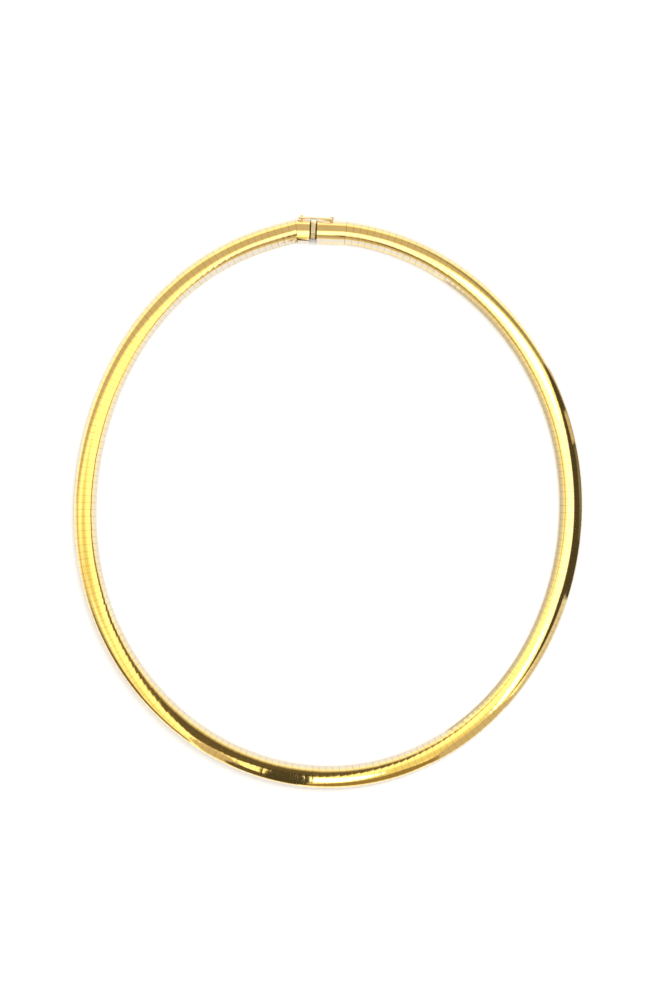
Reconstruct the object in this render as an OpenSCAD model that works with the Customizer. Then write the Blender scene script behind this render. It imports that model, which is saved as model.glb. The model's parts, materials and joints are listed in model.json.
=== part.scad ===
// Omega necklace: a closed collar of narrow domed plates on a woven ribbon, lying flat.
// Millimetres. +Z is up, the clasp is at +Y, and the outside of the necklace's underside is z = 0.
// Round the oval, s is the way along the middle of the band, clockwise from the clasp's middle.
// On the clasp, u runs along it to the right from the box's mouth, and v outwards.

/* [Oval] */
// Width of the closed necklace between the middles of the band
oval_w = 129.5; // [100:0.5:180]
// Length of the closed necklace between the middles of the band
oval_l = 145.3; // [110:0.5:200]
// Height of the three-lobed unevenness with which it lies
lobe_three = 0.3; // [0:0.05:1]
// Height of the four-lobed unevenness with which it lies
lobe_four = 0.24; // [0:0.02:1]
// Direction of the clasp's middle from the middle of the oval, in degrees
clasp_at = 91.3; // [80:0.1:100]
// How far the stiff end cap stands out of the oval
cap_swell = 0.9; // [0:0.05:1.5]

/* [Plates] */
// Width of the band of plates
band_w = 6; // [5:0.1:9]
// Height of the band of plates
band_h = 2.7; // [2.5:0.05:4]
// Height of the upright foot of the dome
foot_h = 0.35; // [0.2:0.05:0.8]
// Thickness of a plate's sheet
plate_wall = 0.35; // [0.25:0.01:0.5]
// Width of each end of a plate that is folded under
fold_w = 1.2; // [0.8:0.05:1.8]
// Spacing of the plates along the middle of the band
plate_pitch = 1.87; // [1.75:0.01:3]
// Space between two plates
plate_gap = 0.12; // [0.1:0.01:0.3]

/* [Woven ribbon] */
// Thickness of the woven ribbon
core_t = 0.7; // [0.5:0.05:0.9]
// Space between the ribbon and the metal round it
core_play = 0.13; // [0.1:0.01:0.2]
// Length of ribbon inside the box and inside the end cap
core_in = 0.6; // [0.3:0.05:0.9]

/* [Clasp] */
// Length of the end cap at the left of the clasp
cap_len = 3.5; // [2.8:0.1:6]
// Length between the end cap and the box
mouth_gap = 2; // [1.6:0.05:3]
// Length of the box
box_len = 7.7; // [6.5:0.1:14]
// How far the clasp stands out beyond the plates all round
clasp_over = 0.1; // [0.05:0.01:0.3]
// Thickness of the clasp's sheet
clasp_wall = 0.4; // [0.3:0.01:0.45]
// Thickness of the clasp's end walls
end_wall = 0.5; // [0.4:0.05:0.7]

/* [Tongue and thumb press] */
// Thickness of the tongue's two leaves
leaf_t = 0.25; // [0.2:0.01:0.3]
// Space between the tongue and the box, above, below and before it
leaf_play = 0.1; // [0.06:0.01:0.15]
// Space on each side between the lower leaf and the box
tongue_side_play = 0.45; // [0.2:0.05:0.7]
// Space on each side between the fold and the box
fold_side_play = 0.55; // [0.2:0.05:0.8]
// Radius of the upper leaf's bead in the fold
bead_r = 0.2; // [0.18:0.01:0.25]
// Radial clearance of the bead in the fold
bead_play = 0.05; // [0.03:0.01:0.08]
// Width of the shoulder that holds behind the mouth
catch_w = 1.6; // [1:0.1:1.8]
// Height of the shoulder over the mouth's upper edge
catch_hold = 0.3; // [0.2:0.01:0.35]
// Length of the shoulder's level top
catch_flat = 0.5; // [0.3:0.05:0.8]
// Length of the shoulder's ramp
catch_ramp = 0.75; // [0.4:0.05:1.2]
// Seam on each side of the thumb tab
tab_seam = 0.42; // [0.25:0.01:0.6]
// How far the tab reaches inwards from the middle of the band
tab_in = 0.6; // [0:0.1:1.4]
// How far the tab's outer end stays back from the band's outer edge
tab_back = 0.15; // [0.1:0.05:0.6]
// Length of the tab's sloping outer end
tab_slope_w = 1.2; // [0.6:0.1:1.6]
// Drop of the tab's sloping outer end
tab_slope_h = 0.7; // [0.3:0.05:1]
// Height of the tab over the clasp's crown
tab_rise = 0.2; // [0:0.05:0.6]
// How far the tab's lower foot stays back from the band's inner edge
foot_back = 0.9; // [0.5:0.05:1.2]
// Thickness of the tab's lower foot on the leaf
foot_t = 0.5; // [0.3:0.05:0.8]

/* [Safety catch] */
// Radius of the catch's wire
wire_r = 0.22; // [0.18:0.01:0.3]
// Space between the catch and the clasp's side
catch_stand = 0.12; // [0.1:0.01:0.3]
// Space between the catch and the ground
catch_lift = 0.2; // [0.1:0.01:0.4]
// Radius of the ball stud
ball_r = 0.53; // [0.4:0.01:0.6]
// Radius of the ball stud's post
post_r = 0.25; // [0.2:0.01:0.35]
// Clearance of the catch's eye round the ball
snap_play = 0.14; // [0.12:0.01:0.2]
// How far the ball's middle stands out beyond the middle of the wire
ball_out = 0.28; // [0.1:0.01:0.4]
// Distance of the ball stud from the end cap's right face
stud_back = 2.3; // [1:0.1:3]
// Distance of the hinge tube from the box's mouth
hinge_in = 3.8; // [2:0.1:6]
// Wall of the hinge tube
tube_wall = 0.22; // [0.18:0.01:0.35]
// Radial clearance of the wire in the hinge tube
hinge_play = 0.06; // [0.03:0.01:0.09]
// Space between the hinge tube's ends and the wire's arms
arm_play = 0.08; // [0.05:0.01:0.15]
// Length of the parallel arms beside the hinge tube
arm_len = 1.2; // [0.8:0.1:1.8]
// Radius of the catch's easy bends, along the middle of the wire
bend_r = 1; // [0.6:0.1:1.4]

/* [Hidden] */
$fn = 48;
gold = "#e3b54c";
pale_gold = "#edc96f";
woven_gold = "#c99a3a";

// The three lobes point this many degrees before the first axis
lobe_three_turn = 58;
// The swell at the end cap dies away over this many degrees
swell_turn = 6;
// One point of the route's table for each degree
route_steps = 360;
// Half the height between the two wires at the catch's waist, as a share of the wire's radius
waist_share = 0.9;
// Runs and bends of the catch's wire stop this far from where they meet, in a ball this much over the wire
joint_inset = 0.03;
joint_over = 0.01;
// Cutting shapes reach this far past what they cut
past = 1;
clasp_len = cap_len + mouth_gap + box_len;

// Route: polar radius of the oval, its points and the way along it
cap_at = clasp_at + clasp_len / oval_l * 180 / PI;
function from_cap(t) = t - cap_at - 360 * round((t - cap_at) / 360);
function oval_r(t) =
    oval_w / 2 * oval_l / 2 / norm([oval_l / 2 * cos(t), oval_w / 2 * sin(t)])
    + lobe_three * cos(3 * t + lobe_three_turn)
    + lobe_four * sin(4 * t)
    + cap_swell * exp(-abs(from_cap(t)) / swell_turn);
function oval_at(t) = oval_r(t) * [cos(t), sin(t)];
function step_len(i) = norm(oval_at(clasp_at - i) - oval_at(clasp_at - i - 1));
route = [for (i = 0, s = 0; i <= route_steps; s = s + step_len(i), i = i + 1) [s, clasp_at - i]];
route_len = route[route_steps][0];
function wrapped(s) = s < 0 ? s + route_len : s;
function at(s) = oval_at(lookup(wrapped(s), route));
function unit(p) = p / norm(p);
function along(s) = unit(oval_at(lookup(wrapped(s), route) - 1) - oval_at(lookup(wrapped(s), route) + 1));
function outward(s) = [-along(s).y, along(s).x];
function heading(p) = atan2(p.y, p.x);

// Chain: the plates fill the oval from the box's right end round to the cap's left end
chain_start = clasp_len / 2;
chain_len = route_len - clasp_len;
plate_count = round(chain_len / plate_pitch);
pitch = chain_len / plate_count;
function cut_at(i) = chain_start + i * pitch;

// Clasp frame: straight between the two ends of the chain
clasp_left = at(-clasp_len / 2);
clasp_right = at(clasp_len / 2);
clasp_dir = unit(clasp_right - clasp_left);
clasp_turn = heading(clasp_dir);
box_end = norm(clasp_right - clasp_left) - cap_len - mouth_gap;
mouth_at = clasp_left + clasp_dir * (cap_len + mouth_gap);
function on_clasp(u, v) = mouth_at + clasp_dir * u + [-clasp_dir.y, clasp_dir.x] * v;
right_bend = heading(along(clasp_len / 2)) - clasp_turn;
left_bend = heading(along(-clasp_len / 2)) - clasp_turn;

// Dome: one arc over the band, with its middle at this radius and height
crown_r = (pow(band_w / 2, 2) + pow(band_h - foot_h, 2)) / (2 * (band_h - foot_h));
crown_z = band_h - crown_r;
function dome_v(z, grow) = sqrt(pow(crown_r + grow, 2) - pow(z - crown_z, 2));
function room_v(z, wall) = min(dome_v(z, -wall), band_w / 2 - wall);
clasp_top = band_h + clasp_over;

// Ribbon: as wide as the plates leave it
core_z = max(plate_wall, clasp_wall) + core_play;
core_w = 2 * (room_v(core_z + core_t, plate_wall) - core_play);
core_reach = end_wall + core_in;

// Tongue: heights from the box's floor up, and lengths from the mouth
cap_face = -mouth_gap;
leaf_z = clasp_wall + leaf_play;
leaf_top = leaf_z + leaf_t;
bore_r = bead_r + bead_play;
fold_r = bore_r + leaf_t;
fold_u = box_end - core_reach - 2 * leaf_play - fold_r;
fold_z = leaf_z + fold_r;
box_sheet = clasp_wall - clasp_over;
tongue_w = 2 * (room_v(leaf_top, box_sheet) - tongue_side_play);
press_w = 2 * (room_v(fold_z + fold_r, box_sheet) - fold_side_play);
tab_left = cap_face + tab_seam;
tab_right = -tab_seam;
tab_out = band_w / 2 - tab_back;
foot_in = band_w / 2 - foot_back;
catch_u = end_wall + leaf_play;
ramp_end = catch_u + catch_flat + catch_ramp;
press_turn = asin((catch_hold + leaf_play) / (fold_u - catch_u));
neck_z = leaf_top + (fold_u - tab_left) * sin(press_turn) + leaf_play;
neck_top = neck_z + leaf_t;
slot_top = neck_top + leaf_play;
catch_top = slot_top + catch_hold;
tab_top = clasp_top + tab_rise;

// Safety catch: in an upright plane beside the clasp
clasp_side = band_w / 2 + clasp_over;
catch_v = clasp_side + catch_stand + wire_r;
eye_r = ball_r + snap_play + wire_r;
catch_z = catch_lift + wire_r + eye_r;
stud_u = cap_face - stud_back;
ball_v = catch_v + ball_out;
waist_u = (stud_u + hinge_in) / 2;
waist_h = waist_share * wire_r;
hinge_bore_r = wire_r + hinge_play;
tube_r = hinge_bore_r + tube_wall;
elbow_r = wire_r + arm_play;
tube_len = 2 * (eye_r - elbow_r);

// The origin is in the middle of the whole necklace's outline
edges = [for (i = [0:plate_count]) at(cut_at(i)) + outward(cut_at(i)) * band_w / 2];
top_y = max(on_clasp(stud_u, ball_v).y + ball_r, on_clasp(hinge_in, catch_v).y + tube_r);
middle = [(max([for (p = edges) p.x]) + min([for (p = edges) p.x])) / 2,
          (top_y + min([for (p = edges) p.y])) / 2];

module centred() {
  translate([-middle.x, -middle.y, 0]) children();
}

module clasp_frame() {
  centred() translate([mouth_at.x, mouth_at.y, 0]) rotate(clasp_turn) children();
}

// Extrudes a v, z section along u
module along_u(from, to) {
  translate([from, 0, 0]) rotate([90, 0, 90]) linear_extrude(to - from) children();
}

// Extrudes a u, z section across v, evenly about the middle
module across_v(width) {
  translate([0, width / 2, 0]) rotate([90, 0, 0]) linear_extrude(width) children();
}

// Section of the band, grown outwards all round but cut flat at the given height
module dome(grow, bottom) {
  intersection() {
    translate([0, crown_z]) circle(crown_r + grow);
    translate([-band_w / 2 - grow, bottom]) square([band_w + 2 * grow, band_h + grow - bottom]);
  }
}

// Section of a plate: a shell with its ends folded under
module plate_section() {
  difference() {
    dome(0, 0);
    dome(-plate_wall, plate_wall);
    translate([fold_w - band_w / 2, -past]) square([band_w - 2 * fold_w, past + 2 * plate_wall]);
  }
}

// One plate, with its two edges square to the route
module plate(i) {
  from = cut_at(i);
  to = cut_at(i + 1);
  middle_at = (at(from) + at(to)) / 2;
  reach = band_w / 2 + past;
  from_cut = at(from) + along(from) * plate_gap / 2;
  to_cut = at(to) - along(to) * plate_gap / 2;
  intersection() {
    translate([middle_at.x, middle_at.y, 0])
      rotate(heading(at(to) - at(from)))
      along_u(-pitch, pitch) plate_section();
    linear_extrude(band_h + past)
      polygon([
        from_cut - outward(from) * reach,
        to_cut - outward(to) * reach,
        to_cut + outward(to) * reach,
        from_cut + outward(from) * reach
      ]);
  }
}

module chain_plates() {
  color(gold)
    centred()
    for (i = [0:plate_count - 1])
      plate(i);
}

// Woven ribbon: runs through the plates, and both ends sit in the clasp
module mesh_core() {
  side = [-clasp_dir.y, clasp_dir.x];
  in_box = clasp_right - clasp_dir * core_reach;
  in_cap = clasp_left + clasp_dir * core_reach;
  half_w = core_w / 2;
  cuts = [for (i = [0:plate_count]) cut_at(i)];
  outer_edge = [for (s = cuts) at(s) + outward(s) * half_w];
  inner_edge = [for (i = [plate_count:-1:0]) at(cuts[i]) - outward(cuts[i]) * half_w];
  color(woven_gold)
    centred()
    translate([0, 0, core_z])
    linear_extrude(core_t)
    polygon(concat(
      [in_box + side * half_w],
      outer_edge,
      [in_cap + side * half_w, in_cap - side * half_w],
      inner_edge,
      [in_box - side * half_w]
    ));
}

// Keeps what lies further than inset from the chain, at the right end (way 1) or the left end (way -1)
module chain_end_cut(end_u, bend, way, inset) {
  keep = clasp_len + past;
  translate([end_u, 0, 0])
    rotate(bend)
    translate([way > 0 ? -keep - inset : inset, -band_w, 0])
    cube([keep, 2 * band_w, 2 * clasp_top]);
}

// Hole for the ribbon through an end wall
module core_hole(from, to) {
  along_u(from, to)
    translate([-core_w / 2 - core_play, core_z - core_play])
    square([core_w + 2 * core_play, core_t + 2 * core_play]);
}

// Mouth of the box: wide below for the lower leaf, narrower above for the upper one
module mouth_slot() {
  along_u(-past, end_wall + past) {
    translate([-tongue_w / 2 - leaf_play, clasp_wall])
      square([tongue_w + 2 * leaf_play, leaf_t + 2 * leaf_play]);
    translate([-press_w / 2 - leaf_play, clasp_wall])
      square([press_w + 2 * leaf_play, slot_top - clasp_wall]);
  }
}

module hinge_tube() {
  translate([hinge_in, catch_v, catch_z - tube_len / 2]) cylinder(r = tube_r, h = tube_len);
  translate([hinge_in - hinge_bore_r, 0, catch_z - tube_len / 2])
    cube([2 * hinge_bore_r, catch_v, tube_len]);
}

// Hollow box with its mouth and the soldered hinge tube
module clasp_box() {
  color(pale_gold)
    clasp_frame()
    difference() {
      union() {
        intersection() {
          along_u(0, box_end + past) dome(clasp_over, 0);
          chain_end_cut(box_end, right_bend, 1, plate_gap / 2);
        }
        hinge_tube();
      }
      intersection() {
        along_u(end_wall, box_end + past) dome(clasp_over - clasp_wall, clasp_wall);
        chain_end_cut(box_end, right_bend, 1, end_wall);
      }
      core_hole(box_end - end_wall - past, box_end + past);
      mouth_slot();
      translate([hinge_in, catch_v, -past]) cylinder(r = hinge_bore_r, h = clasp_top + 2 * past);
    }
}

// Fold at the tongue's tip: half a tube that opens towards the mouth
module fold() {
  intersection() {
    translate([fold_u, 0, fold_z])
      rotate([90, 0, 0])
      difference() {
        cylinder(r = fold_r, h = press_w, center = true);
        cylinder(r = bore_r, h = press_w + past, center = true);
      }
    translate([fold_u, -press_w, 0]) cube([fold_r + past, 2 * press_w, clasp_top]);
  }
}

// End cap with the tongue's lower leaf, the fold and the soldered ball stud
module tongue_end() {
  cap_left = cap_face - cap_len;
  flank_v = dome_v(catch_z, clasp_over) - clasp_wall / 2;
  color(pale_gold)
    clasp_frame()
    union() {
      difference() {
        intersection() {
          along_u(cap_left - past, cap_face) dome(clasp_over, 0);
          chain_end_cut(cap_left, left_bend, -1, plate_gap / 2);
        }
        intersection() {
          along_u(cap_left - past, cap_face - end_wall) dome(clasp_over - clasp_wall, clasp_wall);
          chain_end_cut(cap_left, left_bend, -1, end_wall);
        }
        core_hole(cap_left - past, cap_left + end_wall + past);
      }
      translate([cap_face - end_wall / 2, -tongue_w / 2, leaf_z])
        cube([fold_u - fold_r - cap_face + end_wall / 2, tongue_w, leaf_t]);
      translate([fold_u - 2 * fold_r, -press_w / 2, leaf_z]) cube([2 * fold_r, press_w, leaf_t]);
      fold();
      translate([stud_u, flank_v, catch_z])
        rotate([-90, 0, 0])
        cylinder(r = post_r, h = ball_v - flank_v);
      translate([stud_u, ball_v, catch_z]) sphere(ball_r);
    }
}

// Upper leaf with its bead, shoulder and thumb tab
module thumb_press() {
  half_t = leaf_t / 2;
  color(gold)
    clasp_frame()
    union() {
      translate([fold_u, 0, fold_z])
        rotate([90, 0, 0])
        cylinder(r = bead_r, h = press_w, center = true);
      across_v(press_w)
        polygon([
          [fold_u, fold_z - half_t],
          [fold_u, fold_z + half_t],
          [ramp_end, neck_top],
          [tab_left, neck_top],
          [tab_left, neck_z],
          [ramp_end, neck_z]
        ]);
      across_v(catch_w)
        polygon([
          [catch_u, neck_z],
          [catch_u, catch_top],
          [catch_u + catch_flat, catch_top],
          [ramp_end, neck_top],
          [ramp_end, neck_z]
        ]);
      along_u(tab_left, tab_right)
        polygon([
          [-foot_in, neck_z],
          [-foot_in, neck_top + foot_t],
          [-tab_in, neck_top + foot_t],
          [-tab_in, tab_top],
          [tab_out - tab_slope_w, tab_top],
          [tab_out, tab_top - tab_slope_h],
          [tab_out, neck_z]
        ]);
    }
}

// Turns of the catch's two slanting runs, down to the waist and up to the arms
waist_bend = [waist_u, waist_h + bend_r];
arm_bend = [hinge_in - arm_len, eye_r - bend_r];
function crossing(p, q, reach) = asin(reach / norm(q - p));
down_turn = heading(waist_bend - [stud_u, 0]) - crossing([stud_u, 0], waist_bend, eye_r + bend_r);
up_turn = heading(arm_bend - waist_bend) + crossing(waist_bend, arm_bend, 2 * bend_r);
function off(turn) = [cos(turn + 90), sin(turn + 90)];

// One straight run of the catch's wire, between two u, z points, with a ball at each end
module run(p, q) {
  span = norm(q - p);
  translate([p.x, 0, p.y])
    rotate([0, 90 - heading(q - p), 0]) {
      sphere(wire_r + joint_over);
      translate([0, 0, joint_inset]) cylinder(r = wire_r, h = span - 2 * joint_inset);
      translate([0, 0, span]) sphere(wire_r + joint_over);
    }
}

// One bend of the catch's wire, about a u, z point
module bend(p, radius, from, to) {
  translate([p.x, 0, p.y])
    rotate([90, 0, 0])
    rotate(from)
    rotate_extrude(angle = to - from)
    translate([radius, 0])
    circle(wire_r);
}

// Figure-eight wire: an eye round the ball, a waist, and an eye whose upright end turns in the hinge tube
module safety_catch() {
  color(pale_gold)
    clasp_frame()
    translate([0, catch_v, catch_z])
    union() {
      bend([stud_u, 0], eye_r, 90 + down_turn, 270 - down_turn);
      for (half = [0, 180])
        rotate([half, 0, 0]) {
          run([stud_u, 0] + eye_r * off(down_turn), waist_bend - bend_r * off(down_turn));
          bend(waist_bend, bend_r, down_turn - 90, up_turn - 90);
          run(waist_bend - bend_r * off(up_turn), arm_bend + bend_r * off(up_turn));
          bend(arm_bend, bend_r, 90, 90 + up_turn);
          run([arm_bend.x, eye_r], [hinge_in - elbow_r, eye_r]);
          bend([hinge_in - elbow_r, eye_r - elbow_r], elbow_r, 0, 90);
        }
      run([hinge_in, elbow_r - eye_r], [hinge_in, eye_r - elbow_r]);
    }
}

chain_plates();
mesh_core();
clasp_box();
tongue_end();
thumb_press();
safety_catch();
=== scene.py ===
"""Dresses the omega necklace: plates on a woven ribbon, a box clasp and a safety catch."""

import json
import math

import bmesh
import bpy
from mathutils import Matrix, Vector

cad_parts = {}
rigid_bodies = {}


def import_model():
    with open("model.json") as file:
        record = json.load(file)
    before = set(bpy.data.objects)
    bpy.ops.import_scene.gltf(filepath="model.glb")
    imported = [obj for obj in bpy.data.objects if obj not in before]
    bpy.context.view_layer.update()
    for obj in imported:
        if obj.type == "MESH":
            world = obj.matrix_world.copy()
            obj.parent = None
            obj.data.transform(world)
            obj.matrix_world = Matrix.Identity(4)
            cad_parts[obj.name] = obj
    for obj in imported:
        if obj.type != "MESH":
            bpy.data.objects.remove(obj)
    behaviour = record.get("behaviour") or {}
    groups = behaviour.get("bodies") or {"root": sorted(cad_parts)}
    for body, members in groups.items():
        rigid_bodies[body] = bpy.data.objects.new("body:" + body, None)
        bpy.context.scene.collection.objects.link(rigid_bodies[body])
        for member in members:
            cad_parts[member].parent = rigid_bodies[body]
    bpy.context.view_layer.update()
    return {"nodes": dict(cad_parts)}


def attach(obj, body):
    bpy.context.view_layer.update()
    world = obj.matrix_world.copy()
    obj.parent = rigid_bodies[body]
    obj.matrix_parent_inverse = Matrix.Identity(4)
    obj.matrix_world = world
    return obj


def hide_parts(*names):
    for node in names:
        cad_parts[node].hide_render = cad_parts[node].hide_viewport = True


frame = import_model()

bl_info = {
    "name": "Omega necklace",
    "version": (1, 0, 0),
    "blender": (4, 5, 0),
    "location": "3D View > Sidebar > Necklace",
    "description": "Builds a polished omega necklace round its packed solids",
    "category": "Object",
}

MM = 0.001

# The photo's frame in pixels, the millimetres that a pixel spans, and the pixel over the oval's
# own centre
IMAGE_W = 665
IMAGE_H = 997
PIXEL = 0.2664
OVAL_PIXEL = (327.42, 505.76)
# Height over the floor at which a pixel spans that much, in millimetres
PIXEL_Z = 1.0

# The route that the plates follow, as in the part's source, in millimetres and degrees
OVAL_W = 129.5
OVAL_L = 145.3
LOBE_THREE = 0.3
LOBE_THREE_TURN = 58
LOBE_FOUR = 0.24
CAP_SWELL = 0.9
SWELL_TURN = 6
CLASP_AT = 91.3
CAP_LEN = 3.5
MOUTH_GAP = 2.0
BOX_LEN = 7.7
CLASP_LEN = CAP_LEN + MOUTH_GAP + BOX_LEN
PLATE_PITCH = 1.87
# The outline's middle, which is the frame's origin, seen from the oval's own centre
MIDDLE = (0.145552, 1.07743)
# Spacing of the route curve's points, and how far it runs on at both ends of the chain
ROUTE_STEP = 0.25
ROUTE_SPARE = 3.0

# The band's section, in millimetres
BAND_W = 6.0
BAND_H = 2.7
FOOT_H = 0.35
PLATE_WALL = 0.35
PLATE_CORNER = 0.3
FOLD_W = 1.2
# Depth of a plate's worn edge, as a share of its width
WORN_SLOPE = 0.02
# The dome's circle: its rise over the folded ends, its radius and its middle's height
DOME_RISE = BAND_H - FOOT_H
DOME_R = ((BAND_W / 2) ** 2 + DOME_RISE**2) / (2 * DOME_RISE)
DOME_Z = BAND_H - DOME_R
# Spans of a plate's outer and inner dome
DOME_SPANS = 14
INNER_SPANS = 6
# Height over which a plate leans with its dome
LEAN_OVER = FOOT_H + 0.01
# Edges of a plate that fold more than this stay sharp
CREASE = math.radians(32)

# The woven ribbon, in millimetres: its solid's width and middle height, how far the weave stays
# inside the width and waves up and down, its cross wires and its flat strands
CORE_W = 4.16
CORE_MID_Z = 0.88
WEAVE_MARGIN = 0.12
WEAVE_WAVE = 0.12
WEFT_R = 0.1
WEFT_SIDES = 4
STRAND_W = 0.52
STRAND_H = 0.2
# How far the ribbon reaches into both halves of the clasp
RIBBON_SPARE = 1.0

# The middle of the box's open end, and the way that the box points from there
MOUTH = (-2.91385, 72.0265)
CLASP_TURN = math.radians(-2.60206)
# The clasp's dome stands this far over the plates, in millimetres
CLASP_OVER = 0.1
# Depth of the clasp's skin that leans with its dome
SKIN = 0.2
# The skin's lean starts at this height, and is whole after this rise
LEAN_FROM = 0.9
LEAN_RISE = 0.6
# How far off the dome's circle, and how square to it, a face is still the dome's
ON_DOME = 0.03
DOME_FACING = 0.9
# Rounding of the clasp: corners nearer than this merge, faces that turn less than this become
# one, and edges that turn more than this are rounded, in so many steps
WELD = 0.002
FLAT_TURN = math.radians(0.8)
EDGE_TURN = math.radians(35)
EDGE_SEGMENTS = 3

# Radius of the light tent's tube round the band, and height of its mat, in millimetres
TENT_R = 56.0
MAT_Z = 0.03
# The part of the dome in which the tent is seen, as an angle from its crown
TENT_REACH = math.radians(75.5)
# The tent's spans across the band and round it
TENT_SPANS = 100
TENT_COLUMNS = 360

# Radius of the floor in metres, and where the key light comes from
FLOOR_R = 2.5
KEY_AZIMUTH = math.radians(45)
KEY_HEIGHT = math.radians(38)

# Shades of a gold, as factors of its colour, and how much of each shows: in clouds, on some
# plates more than on others, and as painted shade along the seams and in the clasp's mouth
DEEP, DEEP_SHARE = (0.93, 0.88, 0.8), 0.6
RICH, RICH_SHARE = (1.0, 0.95, 0.86), 0.7
SEAM_SHADE, SEAM_SHADE_SHARE = (0.66, 0.56, 0.46), 0.5
SHADOWED = (0.3, 0.22, 0.12)
# What plates, seams, the clasp's mouth and scratches add to the roughness
PLATE_ROUGH = 0.025
SEAM_ROUGH = 0.08
MOUTH_ROUGH = 0.35
SCRATCH_ROUGH = 0.09
# Where a seam's dark line of painted shade starts, as a share of the pitch from a plate's middle
SEAM_START = 0.455
# Heights between which the painted shadow in the clasp's mouth sets in, and how far out of the
# mouth it starts and inside it is whole, in millimetres
MOUTH_LIT_Z = 2.35
MOUTH_DARK_Z = 2.0
MOUTH_FADE_OUT = 0.04
MOUTH_FADE_IN = 0.02

# Marks of the polish: scales of its clouds, its grain and its scratches, and the scratches' turn
CLOUD_SCALE = 160.0
GRAIN_SCALE = 2600.0
SCRATCH_SCALE = (900.0, 9000.0, 900.0)
SCRATCH_TURN = (0.3, 0.2, 0.7)
# Parts of these noises that show as tint, as roughness with its factors, and as scratches
TINT_SPAN = (0.3, 0.75)
ROUGH_SPAN = (0.35, 0.7)
ROUGH_FACTORS = (0.75, 1.45)
SCRATCH_SPAN = (0.62, 0.78)
# Depth of the marks, in millimetres
MARK_DEPTH = 0.02

# Slots of the record
PLATE_SLOT = "plate_gold"
CLASP_SLOT = "clasp_gold"


# ---- the route ----


def oval_radius(turn):
    a, b = OVAL_W / 2, OVAL_L / 2
    rad = math.radians(turn)
    plain = a * b / math.hypot(b * math.cos(rad), a * math.sin(rad))
    cap_at = CLASP_AT + math.degrees(CLASP_LEN / OVAL_L)
    from_cap = (turn - cap_at + 180) % 360 - 180
    return (
        plain
        + LOBE_THREE * math.cos(3 * rad + math.radians(LOBE_THREE_TURN))
        + LOBE_FOUR * math.sin(4 * rad)
        + CAP_SWELL * math.exp(-abs(from_cap) / SWELL_TURN)
    )


def oval_point(turn):
    rad = math.radians(turn)
    radius = oval_radius(turn)
    return radius * math.cos(rad), radius * math.sin(rad)


def route_table():
    """Ways along the route, clockwise from the clasp's middle, and the degrees they are at."""
    ways, turns = [0.0], [CLASP_AT]
    for i in range(360):
        here, there = oval_point(CLASP_AT - i), oval_point(CLASP_AT - i - 1)
        ways.append(ways[-1] + math.dist(here, there))
        turns.append(CLASP_AT - i - 1)
    return ways, turns


ROUTE_WAYS, ROUTE_TURNS = route_table()
ROUTE_LEN = ROUTE_WAYS[-1]
CHAIN_START = CLASP_LEN / 2
CHAIN_LEN = ROUTE_LEN - CLASP_LEN
PLATE_COUNT = round(CHAIN_LEN / PLATE_PITCH)
PITCH = CHAIN_LEN / PLATE_COUNT


def route_point(way):
    """The point at a way along the route, in the frame, in millimetres."""
    way = way % ROUTE_LEN
    step = next(i for i in range(360) if ROUTE_WAYS[i + 1] >= way)
    share = (way - ROUTE_WAYS[step]) / (ROUTE_WAYS[step + 1] - ROUTE_WAYS[step])
    x, y = oval_point(ROUTE_TURNS[step] - share)
    return Vector((x - MIDDLE[0], y - MIDDLE[1], 0))


# ---- small helpers ----


def link_object(name, data):
    obj = bpy.data.objects.new(name, data)
    bpy.context.scene.collection.objects.link(obj)
    return obj


def new_object(name, mesh):
    """A new object of a bmesh, which is freed."""
    data = bpy.data.meshes.new(name)
    mesh.to_mesh(data)
    mesh.free()
    return link_object(name, data)


def plain_mesh(obj, name):
    """The evaluated mesh of an object as a plain new object; the old one is removed."""
    graph = bpy.context.evaluated_depsgraph_get()
    mesh = bpy.data.meshes.new_from_object(obj.evaluated_get(graph))
    mesh.name = name
    new = link_object(name, mesh)
    old = obj.data
    bpy.data.objects.remove(obj)
    bpy.data.meshes.remove(old)
    return new


class Nodes:
    """A node tree that is built step by step."""

    def __init__(self, tree):
        self.tree = tree

    def fill(self, socket, value):
        """Joins another socket to this one, or sets it to a plain value."""
        if isinstance(value, bpy.types.NodeSocket):
            self.tree.links.new(value, socket)
        else:
            socket.default_value = value

    def node(self, kind, values=None, **settings):
        """Adds a node; values are sockets to join or plain values, by input name or number."""
        new = self.tree.nodes.new(kind)
        for key, value in settings.items():
            setattr(new, key, value)
        for key, value in (values or {}).items():
            self.fill(new.inputs[key], value)
        return new

    def maths(self, operation, a, b=0.0):
        return self.node("ShaderNodeMath", {0: a, 1: b}, operation=operation).outputs[0]

    def plus(self, a, b):
        return self.maths("ADD", a, b)

    def times(self, a, b):
        return self.maths("MULTIPLY", a, b)

    def parts(self, vector):
        """The x, y and z of a vector."""
        return self.node("ShaderNodeSeparateXYZ", {0: vector}).outputs


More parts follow.
